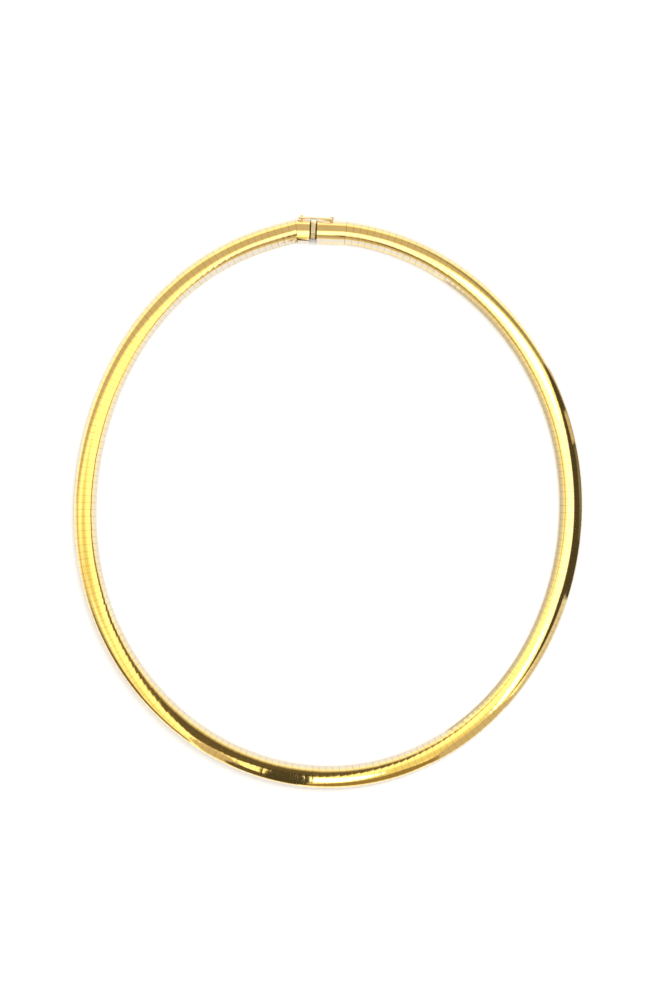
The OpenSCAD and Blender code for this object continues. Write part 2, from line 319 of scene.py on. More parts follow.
class Tree(Nodes):
    """A geometry node tree along the route, with inputs for counts and for measures."""

    def __init__(self, name, counts, measures):
        super().__init__(bpy.data.node_groups.new(name, "GeometryNodeTree"))
        face = self.tree.interface
        face.new_socket("Geometry", in_out="INPUT", socket_type="NodeSocketGeometry")
        self.ids = {}
        kinds = {"Object": ("Route",), "Int": counts, "Float": measures, "Material": ("Finish",)}
        for kind, labels in kinds.items():
            for label in labels:
                socket = face.new_socket(label, in_out="INPUT", socket_type=f"NodeSocket{kind}")
                self.ids[label] = socket.identifier
        face.new_socket("Geometry", in_out="OUTPUT", socket_type="NodeSocketGeometry")
        self.start = self.tree.nodes.new("NodeGroupInput")
        self.end = self.tree.nodes.new("NodeGroupOutput")

    def __getitem__(self, label):
        return self.start.outputs[label]

    def vector(self, operation, a, b):
        return self.node("ShaderNodeVectorMath", {0: a, 1: b}, operation=operation).outputs[0]

    def joined(self, **parts):
        """A vector of its X, Y and Z."""
        return self.node("ShaderNodeCombineXYZ", parts).outputs[0]

    def position(self):
        """The x, y and z of each point."""
        return self.parts(self.node("GeometryNodeInputPosition").outputs[0])

    def copies(self, count, label, turned=None):
        """Copies of the tree's geometry in one place, numbered under a label.

        turned makes a copy's rotation from its number.
        """
        line = self.node("GeometryNodeMeshLine", {"Count": count, "Offset": (0.0, 0.0, 0.0)})
        index = self.node("GeometryNodeInputIndex").outputs[0]
        numbered = self.node(
            "GeometryNodeStoreNamedAttribute",
            {"Geometry": line.outputs[0], "Name": label, "Value": index},
            data_type="INT",
            domain="POINT",
        )
        values = {"Points": numbered.outputs[0], "Instance": self["Geometry"]}
        if turned:
            values["Rotation"] = turned(index)
        row = self.node("GeometryNodeInstanceOnPoints", values)
        real = self.node("GeometryNodeRealizeInstances", {"Geometry": row.outputs[0]})
        number = self.node("GeometryNodeInputNamedAttribute", {"Name": label}, data_type="INT")
        return real.outputs[0], number.outputs[0]

    def finish(self, geometry):
        """Ends the tree with real geometry in its finish."""
        real = self.node("GeometryNodeRealizeInstances", {"Geometry": geometry})
        done = self.node(
            "GeometryNodeSetMaterial", {"Geometry": real.outputs[0], "Material": self["Finish"]}
        )
        self.tree.links.new(done.outputs[0], self.end.inputs[0])

    def put_on(self, obj, values):
        modifier = obj.modifiers.new(self.tree.name, "NODES")
        modifier.node_group = self.tree
        for label, value in values.items():
            modifier[self.ids[label]] = value


def laid_on_route(tree, geometry, way, across, up):
    """Moves points so that their way, across and up lie along the route."""
    info = tree.node(
        "GeometryNodeObjectInfo", {"Object": tree["Route"]}, transform_space="ORIGINAL"
    )
    sample = tree.node(
        "GeometryNodeSampleCurve",
        {"Curves": info.outputs["Geometry"], "Length": way},
        mode="LENGTH",
        use_all_curves=True,
    )
    outward = tree.vector("CROSS_PRODUCT", (0.0, 0.0, 1.0), sample.outputs["Tangent"])
    aside = tree.node("ShaderNodeVectorMath", {0: outward, "Scale": across}, operation="SCALE")
    place = tree.vector("ADD", sample.outputs["Position"], aside.outputs[0])
    place = tree.vector("ADD", place, tree.joined(Z=up))
    moved = tree.node("GeometryNodeSetPosition", {"Geometry": geometry, "Position": place})
    return moved.outputs[0]


def route_object():
    """The chain's part of the route as a curve, with a little more at both ends."""
    length = CHAIN_LEN + 2 * ROUTE_SPARE
    count = int(length / ROUTE_STEP) + 1
    step = length / (count - 1)
    curve = bpy.data.curves.new("route", "CURVE")
    curve.dimensions = "3D"
    spline = curve.splines.new("POLY")
    spline.points.add(count - 1)
    for i in range(count):
        point = route_point(CHAIN_START - ROUTE_SPARE + i * step) * MM
        spline.points[i].co = (point.x, point.y, 0, 1)
    return link_object("route", curve)


def laid_along(template, tree, values, name):
    """The template laid along the route by a node tree, as a plain mesh."""
    route = route_object()
    tree.put_on(template, {"Route": route, **values})
    piece = plain_mesh(template, name)
    bpy.data.objects.remove(route)
    return piece


# ---- properties ----


class NecklaceSizes(bpy.types.PropertyGroup):
    """Sizes of the dressed pieces."""

    seam: bpy.props.FloatProperty(
        name="Seam", description="Space between two plates",
        default=0.04 * MM, unit="LENGTH", precision=6,
    )
    chamfer: bpy.props.FloatProperty(
        name="Chamfer", description="Worn edge of a plate along its seams",
        default=0.11 * MM, unit="LENGTH", precision=6,
    )
    lean: bpy.props.FloatProperty(
        name="Lean", description="How much the dome leans outwards, as a slope",
        default=0.2, min=0, max=0.3,
    )
    sway: bpy.props.FloatProperty(
        name="Sway", description="Most that a plate tips along the chain",
        default=math.radians(0.4), unit="ROTATION",
    )
    roll: bpy.props.FloatProperty(
        name="Roll", description="Most that a plate rolls across the chain",
        default=math.radians(0.6), unit="ROTATION",
    )
    weft_pitch: bpy.props.FloatProperty(
        name="Weft spacing", description="Spacing of the ribbon's cross wires",
        default=0.66 * MM, unit="LENGTH", precision=6,
    )
    strands: bpy.props.IntProperty(
        name="Strands", description="Number of flat strands along the ribbon",
        default=7, min=3, max=9,
    )
    soft_edge: bpy.props.FloatProperty(
        name="Soft edge", description="Rounding of the clasp's edges",
        default=0.07 * MM, unit="LENGTH", precision=6,
    )
    seed: bpy.props.IntProperty(
        name="Seed", description="Seed of the plates' small unevenness", default=7
    )


class NecklaceFinish(bpy.types.PropertyGroup):
    """Colours and polish of the gold."""

    plate_colour: bpy.props.FloatVectorProperty(
        name="Plates", description="Gold of the plates",
        default=(0.89, 0.69, 0.31), subtype="COLOR", size=3,
    )
    clasp_colour: bpy.props.FloatVectorProperty(
        name="Clasp", description="Gold of the clasp",
        default=(0.89, 0.69, 0.32), subtype="COLOR", size=3,
    )
    # Satin, and painted paler than the plates' gold as a sheen
    press_colour: bpy.props.FloatVectorProperty(
        name="Thumb press", description="Gold of the thumb press",
        default=(0.97, 0.88, 0.64), subtype="COLOR", size=3,
    )
    # Painted paler than the plates' gold, as a sheen for the catch's bright reflections
    wire_colour: bpy.props.FloatVectorProperty(
        name="Wire", description="Gold of the safety catch",
        default=(0.96, 0.87, 0.6), subtype="COLOR", size=3,
    )
    woven_colour: bpy.props.FloatVectorProperty(
        name="Ribbon", description="Gold of the woven ribbon",
        default=(0.7, 0.46, 0.15), subtype="COLOR", size=3,
    )
    polish: bpy.props.FloatProperty(
        name="Roughness", description="Roughness of the polished gold",
        default=0.07, min=0, max=1,
    )


class StudioSettings(bpy.types.PropertyGroup):
    """Floor, light and camera."""

    floor_colour: bpy.props.FloatVectorProperty(
        name="Floor", description="Colour of the floor",
        default=(0.92, 0.91, 0.9), subtype="COLOR", size=3,
    )
    camera_height: bpy.props.FloatProperty(
        name="Camera height", description="Height of the camera over the floor",
        default=0.7, unit="LENGTH",
    )
    key_power: bpy.props.FloatProperty(
        name="Key", description="Strength of the key light in watts per square metre",
        default=1.35,
    )
    key_spread: bpy.props.FloatProperty(
        name="Key spread", description="Width of the key light as an angle",
        default=math.radians(30), unit="ROTATION",
    )
    sky: bpy.props.FloatProperty(
        name="Sky", description="Strength of the even light all round", default=1.1
    )
    tent: bpy.props.FloatProperty(
        name="Tent", description="Strength of the light tent", default=1.0
    )


# ---- materials ----


class Shade(Nodes):
    """A shader tree."""

    def span(self, value, low, high, to_low=0.0, to_high=1.0):
        """Goes smoothly from to_low to to_high as the value goes from low to high."""
        return self.node(
            "ShaderNodeMapRange",
            {"Value": value, 1: low, 2: high, 3: to_low, 4: to_high},
            interpolation_type="SMOOTHSTEP",
        ).outputs[0]

    def mix(self, share, a, b):
        """The colour a, with b over it as far as the share says."""
        new = self.node("ShaderNodeMix", {0: share}, data_type="RGBA")
        for socket, value in ((new.inputs[6], a), (new.inputs[7], b)):
            if not isinstance(value, bpy.types.NodeSocket):
                value = (*value, 1.0)
            self.fill(socket, value)
        return new.outputs[2]

    def more(self, value, share, factor):
        """The value and a factor of the share."""
        return self.plus(value, self.times(share, factor))

    def noise(self, place, scale, detail):
        values = {"Vector": place, "Scale": scale, "Detail": detail}
        return self.node("ShaderNodeTexNoise", values).outputs[0]


def polish_group():
    """Fine marks of polishing and wear: a tint, a roughness and a height."""
    found = bpy.data.node_groups.get("polish_marks")
    if found:
        return found
    group = bpy.data.node_groups.new("polish_marks", "ShaderNodeTree")
    face = group.interface
    for label, default in (("Roughness", 0.07), ("Marks", 1.0), ("Grain", 1.0)):
        socket = face.new_socket(label, in_out="INPUT", socket_type="NodeSocketFloat")
        socket.default_value = default
    for label in ("Tint", "Roughness", "Height"):
        face.new_socket(label, in_out="OUTPUT", socket_type="NodeSocketFloat")
    shade = Shade(group)
    start = shade.node("NodeGroupInput")
    place = shade.node("ShaderNodeTexCoord").outputs["Object"]
    cloud = shade.noise(place, CLOUD_SCALE, 3.0)
    fine = shade.noise(place, GRAIN_SCALE, 2.0)
    turned = shade.node(
        "ShaderNodeMapping", {"Vector": place, "Rotation": SCRATCH_TURN, "Scale": SCRATCH_SCALE}
    )
    lines = shade.noise(turned.outputs[0], 1.0, 2.0)
    scratch = shade.span(lines, *SCRATCH_SPAN)
    scratch = shade.times(scratch, start.outputs["Marks"])
    rough = shade.span(cloud, *ROUGH_SPAN, *ROUGH_FACTORS)
    rough = shade.times(rough, start.outputs["Roughness"])
    rough = shade.more(rough, scratch, SCRATCH_ROUGH)
    tint = shade.span(cloud, *TINT_SPAN)
    height = shade.times(fine, start.outputs["Grain"])
    height = shade.maths("SUBTRACT", height, scratch)
    shade.node("NodeGroupOutput", {"Tint": tint, "Roughness": rough, "Height": height})
    return group


def shaded(colour, factors):
    """A colour times the factors of a shade."""
    return tuple(c * f for c, f in zip(colour, factors))


def with_seams(shade, colour, base, rough):
    """Paints shade on the plates' seams and dulls them, and warms some plates more than others."""
    place = shade.node("ShaderNodeUVMap", uv_map="UVMap").outputs[0]
    from_mid = shade.maths("SUBTRACT", shade.parts(place)[0], 0.5)
    edge = shade.span(shade.maths("ABSOLUTE", from_mid), SEAM_START, 0.5)
    tone = shade.node("ShaderNodeAttribute", attribute_name="tone").outputs["Fac"]
    base = shade.mix(shade.times(tone, RICH_SHARE), base, shaded(colour, RICH))
    # Painted shade: the plates' edges by the seams are darkened
    base = shade.mix(shade.times(edge, SEAM_SHADE_SHARE), base, shaded(colour, SEAM_SHADE))
    rough = shade.more(rough, edge, SEAM_ROUGH)
    return base, shade.more(rough, tone, PLATE_ROUGH)


def with_mouth(shade, colour, base, rough):
    """Darkens what lies low between the clasp's two halves with painted shadow, and dulls it."""
    place = shade.node("ShaderNodeTexCoord").outputs["Object"]
    way = (math.cos(CLASP_TURN), math.sin(CLASP_TURN), 0)
    along = shade.node(
        "ShaderNodeVectorMath", {0: place, 1: tuple(c / MM for c in way)}, operation="DOT_PRODUCT"
    ).outputs["Value"]
    box_end = MOUTH[0] * way[0] + MOUTH[1] * way[1]
    cap_end = box_end - MOUTH_GAP
    low = shade.span(shade.parts(place)[2], MOUTH_LIT_Z * MM, MOUTH_DARK_Z * MM)
    past_cap = shade.span(along, cap_end - MOUTH_FADE_OUT, cap_end + MOUTH_FADE_IN)
    before_box = shade.span(along, box_end + MOUTH_FADE_OUT, box_end - MOUTH_FADE_IN)
    gap = shade.times(shade.times(past_cap, low), before_box)
    # Painted shadow: what lies low in the mouth is darkened
    base = shade.mix(gap, base, shaded(colour, SHADOWED))
    return base, shade.more(rough, gap, MOUTH_ROUGH)


def gold(name, colour, roughness, marks=1.0, grain=1.0, bump=0.02, extra=None):
    """A polished gold with its marks; extra changes its colour and roughness in some places."""
    material = bpy.data.materials.new(name)
    material.use_nodes = True
    shade = Shade(material.node_tree)
    shader = material.node_tree.nodes["Principled BSDF"]
    shader.inputs["Metallic"].default_value = 1.0
    group = shade.node("ShaderNodeGroup", node_tree=polish_group())
    for label, value in (("Roughness", roughness), ("Marks", marks), ("Grain", grain)):
        group.inputs[label].default_value = value
    tint = shade.times(group.outputs["Tint"], DEEP_SHARE)
    base = shade.mix(tint, colour, shaded(colour, DEEP))
    rough = group.outputs["Roughness"]
    if extra:
        base, rough = extra(shade, colour, base, rough)
    normal = shade.node(
        "ShaderNodeBump",
        {"Height": group.outputs["Height"], "Strength": bump, "Distance": MARK_DEPTH * MM},
    ).outputs[0]
    for label, socket in (("Base Color", base), ("Roughness", rough), ("Normal", normal)):
        shade.fill(shader.inputs[label], socket)
    return material


# ---- pieces ----


def dome_line(foot, radius, spans):
    """Points over a dome, as across and up, between two equal angles from its crown."""
    angles = [-foot + 2 * foot * i / spans for i in range(spans + 1)]
    return [(radius * math.sin(a), DOME_Z + radius * math.cos(a)) for a in angles]


def leaned(v, z, lean):
    """A point of the section after the dome has leaned outwards."""
    return v, z + lean * v * (1 - abs(2 * v / BAND_W) ** 4)


def closed_over(low, dome):
    """The low line, the dome, and the low line mirrored."""
    return low + dome + [(-v, z) for v, z in reversed(low)]


def plate_sections():
    """Outer and inner lines of a plate's section, from the inner lip to the outer one.

    Their points are across and up, in millimetres.
    """
    half = BAND_W / 2
    turn = [
        (-half + PLATE_CORNER * (1 - math.cos(a)), PLATE_CORNER * (1 - math.sin(a)))
        for a in (math.radians(90), math.radians(45), 0)
    ]
    foot = math.atan2(half, FOOT_H - DOME_Z)
    low = [(-half + FOLD_W, 0.0)] + turn
    outer = closed_over(low, dome_line(foot, DOME_R, DOME_SPANS))
    inner_r = DOME_R - PLATE_WALL
    inner_foot = math.acos((PLATE_WALL - DOME_Z) / inner_r)
    lip = [(-half + FOLD_W, PLATE_WALL)]
    inner = closed_over(lip, dome_line(inner_foot, inner_r, INNER_SPANS))
    return outer, inner


def drawn_in(points, depth):
    """The line moved inwards, square to itself."""
    moved = []
    for i, (v, z) in enumerate(points):
        before, after = points[max(i - 1, 0)], points[min(i + 1, len(points) - 1)]
        dv, dz = after[0] - before[0], after[1] - before[1]
        size = math.hypot(dv, dz)
        moved.append((v + depth * dz / size, z - depth * dv / size))
    return moved


def plate_template(sizes):
    """One plate with its way along x, its across along y, and worn edges along both seams."""
    outer, inner = plate_sections()
    half = PITCH / 2 - sizes.seam / MM / 2
    worn = sizes.chamfer / MM
    mesh = bmesh.new()
    uv = mesh.loops.layers.uv.new("UVMap")

    def placed(x, v, z):
        # The folded ends stay flat on the floor
        if z > LEAN_OVER:
            v, z = leaned(v, z, sizes.lean)
        return mesh.verts.new((x * MM, v * MM, z * MM))

    low = drawn_in(outer, worn * WORN_SLOPE)
    lines = ((-half, low), (-half + worn, outer), (half - worn, outer), (half, low))
    columns = [[placed(x, v, z) for v, z in line] for x, line in lines]
    inside = [[placed(x, v, z) for v, z in inner] for x in (-half, half)]
    for left, right in zip(columns, columns[1:]):
        for i in range(len(outer) - 1):
            mesh.faces.new((left[i], right[i], right[i + 1], left[i + 1]))
    left, right = inside
    for i in range(len(inner) - 1):
        mesh.faces.new((left[i + 1], right[i + 1], right[i], left[i]))
    mesh.faces.new(columns[0] + left[::-1])
    mesh.faces.new((columns[-1] + right[::-1])[::-1])
    mesh.faces.new(([c[0] for c in columns] + [right[0], left[0]])[::-1])
    mesh.faces.new([c[-1] for c in columns] + [right[-1], left[-1]])
    bmesh.ops.recalc_face_normals(mesh, faces=mesh.faces)
    girth = BAND_W + 2 * BAND_H
    for face in mesh.faces:
        face.smooth = True
        for loop in face.loops:
            co = loop.vert.co / MM
            loop[uv].uv = (co.x / PITCH + 0.5, (co.y + BAND_W / 2) / girth)
    for edge in mesh.edges:
        if len(edge.link_faces) == 2 and edge.calc_face_angle() > CREASE:
            edge.smooth = False
    return new_object("plate_template", mesh)


def plate_tree():
    """Lays copies of the plate along the route, each with its own small tilt and tone."""
    tree = Tree("plate_row", ("Count", "Seed"), ("Start", "Pitch", "Sway", "Roll"))
    real, plate = tree.copies(tree["Count"], "plate")

    def drawn(low, high, offset):
        """A random number for each plate."""
        seed = tree.plus(tree["Seed"], offset)
        node = tree.node("FunctionNodeRandomValue", data_type="FLOAT")
        values = {"Min": low, "Max": high, "ID": plate, "Seed": seed}
        for socket in node.inputs:
            if socket.enabled and socket.name in values:
                tree.fill(socket, values[socket.name])
        return next(s for s in node.outputs if s.enabled)

    x, y, z = tree.position()
    sway = tree.times(drawn(-1.0, 1.0, 0.0), tree["Sway"])
    roll = tree.times(drawn(-1.0, 1.0, 1.0), tree["Roll"])
    way = tree.times(tree.plus(plate, 0.5), tree["Pitch"])
    way = tree.plus(tree.plus(way, tree["Start"]), x)
    up = tree.plus(z, tree.times(x, sway))
    up = tree.plus(up, tree.times(y, roll))
    across = tree.maths("SUBTRACT", y, tree.times(z, roll))
    toned = tree.node(
        "GeometryNodeStoreNamedAttribute",
        {"Geometry": real, "Name": "tone", "Value": drawn(0.0, 1.0, 2.0)},
        data_type="FLOAT",
        domain="POINT",
    )
    tree.finish(laid_on_route(tree, toned.outputs[0], way, across, up))
    return tree


def weft_template(sizes):
    """One cross wire of the ribbon, waving over and under the strands, with its across along y."""
    reach = CORE_W / 2 - WEAVE_MARGIN
    gap = 2 * reach / sizes.strands
    steps = 2 * sizes.strands
    turns = [math.pi * (2 * k + 1) / WEFT_SIDES for k in range(WEFT_SIDES)]
    mesh = bmesh.new()
    rings = []
    for i in range(steps + 1):
        y = -reach + 2 * reach * i / steps
        z = WEAVE_WAVE * math.sin(math.pi * (y + reach) / gap)
        places = [(WEFT_R * math.cos(a), y, z + WEFT_R * math.sin(a)) for a in turns]
        rings.append([mesh.verts.new(Vector(place) * MM) for place in places])
    for a, b in zip(rings, rings[1:]):
        for k in range(WEFT_SIDES):
            after = (k + 1) % WEFT_SIDES
            mesh.faces.new((a[k], a[after], b[after], b[k]))
    mesh.faces.new(rings[0])
    mesh.faces.new(rings[-1][::-1])
    bmesh.ops.recalc_face_normals(mesh, faces=mesh.faces)
    for face in mesh.faces:
        face.smooth = True
    return new_object("weft_template", mesh)


def weave_tree():
    """Weaves flat strands along the route with copies of the cross wire."""
    measures = ("Start", "Length", "Width", "Wave", "Height", "Strand width", "Strand thickness")
    tree = Tree("woven_ribbon", ("Wefts", "Strands"), measures)

    # Cross wires, every other one turned over
    def turned(index):
        odd = tree.maths("MODULO", index, 2.0)
        return tree.joined(X=tree.times(odd, math.pi))

    real, weft = tree.copies(tree["Wefts"], "weft", turned)
    x, y, z = tree.position()
    spacing = tree.maths("DIVIDE", tree["Length"], tree["Wefts"])
    way = tree.times(tree.plus(weft, 0.5), spacing)
    way = tree.plus(tree.plus(way, tree["Start"]), x)
    wefts = laid_on_route(tree, real, way, y, tree.plus(z, tree["Height"]))

    # Flat strands: straight lines of points that are laid on the route afterwards
    steps = tree.plus(tree.times(tree["Wefts"], 2.0), 1.0)
    straight = tree.node("GeometryNodeCurvePrimitiveLine", {"End": tree.joined(X=tree["Length"])})
    cut = tree.node("GeometryNodeResampleCurve", {"Curve": straight.outputs[0], "Count": steps})
    many = tree.node(
        "GeometryNodeDuplicateElements",
        {"Geometry": cut.outputs[0], "Amount": tree["Strands"]},
        domain="SPLINE",
    )
    strand = many.outputs["Duplicate Index"]
    x = tree.position()[0]
    phase = tree.times(tree.maths("DIVIDE", x, spacing), math.pi)
    phase = tree.plus(phase, tree.times(strand, math.pi))
    wave = tree.times(tree.maths("SINE", phase), tree["Wave"])
    gap = tree.maths("DIVIDE", tree["Width"], tree["Strands"])
    middle = tree.times(tree.maths("SUBTRACT", tree["Strands"], 1.0), 0.5)
    offset = tree.times(tree.maths("SUBTRACT", strand, middle), gap)
    waved = tree.node(
        "GeometryNodeSetPosition",
        {"Geometry": many.outputs[0], "Position": tree.joined(X=x, Y=offset, Z=wave)},
    )
    upright = tree.node("GeometryNodeSetCurveNormal", {"Curve": waved.outputs[0]}, mode="Z_UP")
    circle = tree.node("GeometryNodeCurvePrimitiveCircle", {"Resolution": 4, "Radius": 0.5})
    flat = tree.joined(X=tree["Strand width"], Y=tree["Strand thickness"], Z=1.0)
    section = tree.node("GeometryNodeTransform", {"Geometry": circle.outputs[0], "Scale": flat})
    tube = tree.node(
        "GeometryNodeCurveToMesh",
        {"Curve": upright.outputs[0], "Profile Curve": section.outputs[0], "Fill Caps": True},
    )
    x, y, z = tree.position()
    way, up = tree.plus(x, tree["Start"]), tree.plus(z, tree["Height"])
    strands = laid_on_route(tree, tube.outputs[0], way, y, up)
    both = tree.node("GeometryNodeJoinGeometry")
    for geometry in (wefts, strands):
        tree.tree.links.new(geometry, both.inputs[0])
    smooth = tree.node("GeometryNodeSetShadeSmooth", {"Geometry": both.outputs[0]})
    tree.finish(smooth.outputs[0])
    return tree


def softened(node, name, edge):
    """A copy of a CAD node whose edges are rounded."""
    data = frame["nodes"][node].data.copy()
    data.name = name
    mesh = bmesh.new()
    mesh.from_mesh(data)
    bmesh.ops.remove_doubles(mesh, verts=mesh.verts, dist=WELD * MM)
    bmesh.ops.dissolve_limit(
        mesh, angle_limit=FLAT_TURN, verts=mesh.verts, edges=mesh.edges, delimit={"NORMAL"}
    )
    for face in mesh.faces:
        face.smooth = True
    mesh.to_mesh(data)
    mesh.free()
    data.materials.clear()
    obj = link_object(name + "_rough", data)
    bevel = obj.modifiers.new("soft_edge", "BEVEL")
    bevel.width = edge
    bevel.segments = EDGE_SEGMENTS
    bevel.limit_method = "ANGLE"
    bevel.angle_limit = EDGE_TURN
    bevel.harden_normals = True
    bevel.use_clamp_overlap = True
    return plain_mesh(obj, name)


def dress_dome(piece, lean):
    """Leans the dome of a clasp's half as the plates' and gives it the dome's smooth normals."""
    outward = Vector((-math.sin(CLASP_TURN), math.cos(CLASP_TURN), 0))
    mouth = Vector((*MOUTH, 0))
    radius = DOME_R + CLASP_OVER
    mesh = piece.data
    normals = [normal.vector.copy() for normal in mesh.corner_normals]
    spots = [(outward.dot(vert.co / MM - mouth), vert.co.z / MM) for vert in mesh.vertices]
    for face in mesh.polygons:
        for k in face.loop_indices:
            v, z = spots[mesh.loops[k].vertex_index]
            round_way = (outward * v + Vector((0, 0, z - DOME_Z))).normalized()
            on_dome = abs(math.hypot(v, z - DOME_Z) - radius) < ON_DOME and z > FOOT_H
            if on_dome and face.normal.dot(round_way) > DOME_FACING:
                slope = -v / (z - DOME_Z)
                if abs(v) < BAND_W / 2:
                    # What leaned() adds to the slope
                    slope += lean * (1 - 5 * (2 * v / BAND_W) ** 4)
                normals[k] = (Vector((0, 0, 1)) - outward * slope).normalized()
    for vert, (v, z) in zip(mesh.vertices, spots):
        depth = radius - math.hypot(v, z - DOME_Z)
        if abs(v) < BAND_W / 2 and depth < SKIN:
            share = min(max((z - LEAN_FROM) / LEAN_RISE, 0.0), 1.0)
            vert.co.z += (leaned(v, z, lean)[1] - z) * share * MM
    mesh.normals_split_custom_set(normals)


def make_plates(sizes, finish):
    material = gold("polished_plate_gold", finish.plate_colour, finish.polish, extra=with_seams)
    values = {
        "Count": PLATE_COUNT,
        "Start": ROUTE_SPARE * MM,
        "Pitch": PITCH * MM,
        "Sway": sizes.sway,
        "Roll": sizes.roll,
        "Seed": sizes.seed,
        "Finish": material,
    }
    row = laid_along(plate_template(sizes), plate_tree(), values, "plate_row")
    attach(row, "necklace")
    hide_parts("chain_plates")


def make_ribbon(sizes, finish):
    length = CHAIN_LEN * MM + 2 * RIBBON_SPARE * MM
    # The cross wires are even in number, so that every strand ends as it starts
    wefts = 2 * round(length / sizes.weft_pitch / 2)
    material = gold("woven_wire_gold", finish.woven_colour, 0.24, marks=0.3, grain=2.0, bump=0.1)
    values = {
        "Wefts": wefts,
        "Strands": sizes.strands,
        "Start": (ROUTE_SPARE - RIBBON_SPARE) * MM,
        "Length": length,
        "Width": (CORE_W - 2 * WEAVE_MARGIN) * MM,
        "Wave": WEAVE_WAVE * MM,
        "Height": CORE_MID_Z * MM,
        "Strand width": STRAND_W * MM,
        "Strand thickness": STRAND_H * MM,
        "Finish": material,
    }
    ribbon = laid_along(weft_template(sizes), weave_tree(), values, "woven_ribbon")
    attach(ribbon, "necklace")
    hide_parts("mesh_core")


def make_clasp(sizes, finish):
    polish = finish.polish * 0.9
    clasp = gold("polished_clasp_gold", finish.clasp_colour, polish, marks=1.2, extra=with_mouth)
    satin = gold("satin_press_gold", finish.press_colour, 0.27, marks=0.8, extra=with_mouth)
    wire = gold("polished_wire_gold", finish.wire_colour, 0.1, marks=0.6)
    for node, name, body, material, slot in (
        ("clasp_box", "box_shell", "necklace", clasp, CLASP_SLOT),
        ("tongue_end", "tongue_cap", "necklace", clasp, CLASP_SLOT),
        ("thumb_press", "press_tab", "press", satin, PLATE_SLOT),
    ):
        piece = softened(node, name, sizes.soft_edge)
        if body == "necklace":
            dress_dome(piece, sizes.lean)
        piece.data.materials.append(material)
        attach(piece, body)
        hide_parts(node)
    catch = frame["nodes"]["safety_catch"]
    catch.data.materials.clear()
    catch.data.materials.append(wire)


# ---- studio ----


def make_camera(studio):
    """A camera straight over the middle of the photo."""
    data = bpy.data.cameras.new("camera")
    camera = link_object("camera", data)
    pixel = PIXEL * MM
    x = (IMAGE_W / 2 - OVAL_PIXEL[0]) * PIXEL - MIDDLE[0]
    y = (OVAL_PIXEL[1] - IMAGE_H / 2) * PIXEL - MIDDLE[1]
    height = studio.camera_height
    data.sensor_fit = "VERTICAL"
    data.sensor_height = 36.0
    data.lens = data.sensor_height * (height - PIXEL_Z * MM) / (IMAGE_H * pixel)
    data.clip_start = 0.01
    data.clip_end = 20.0
    camera.location = (x * MM, y * MM, height)
    bpy.context.scene.camera = camera


def make_floor(studio):
    mesh = bmesh.new()
    bmesh.ops.create_circle(mesh, cap_ends=True, radius=FLOOR_R, segments=64)
    floor = new_object("floor", mesh)
    material = bpy.data.materials.new("pale_floor")
    material.use_nodes = True
    shader = material.node_tree.nodes["Principled BSDF"]
    shader.inputs["Base Color"].default_value = (*studio.floor_colour, 1.0)
    shader.inputs["Roughness"].default_value = 0.8
    shader.inputs["Specular IOR Level"].default_value = 0.0
    floor.data.materials.append(material)


# Tones of the light tent and its cards, as radiance
WHITE = (4.5, 4.4, 4.2)
BRIGHT = (2.1, 2.1, 1.95)
SNOW = (1.02, 1.2, 2.25)
SHADE = (0.68, 0.74, 1.05)
COOL = (1.18, 1.28, 1.62)
CLEAR = (1.9, 1.72, 1.06)
WARM = (1.02, 0.93, 0.46)
PALE = (0.9, 0.9, 0.95)
TAN = (0.72, 0.63, 0.49)
OLIVE = (0.42, 0.4, 0.3)
RUST = (0.38, 0.28, 0.12)
BROWN = (0.15, 0.12, 0.07)
DARK = (0.085, 0.075, 0.05)

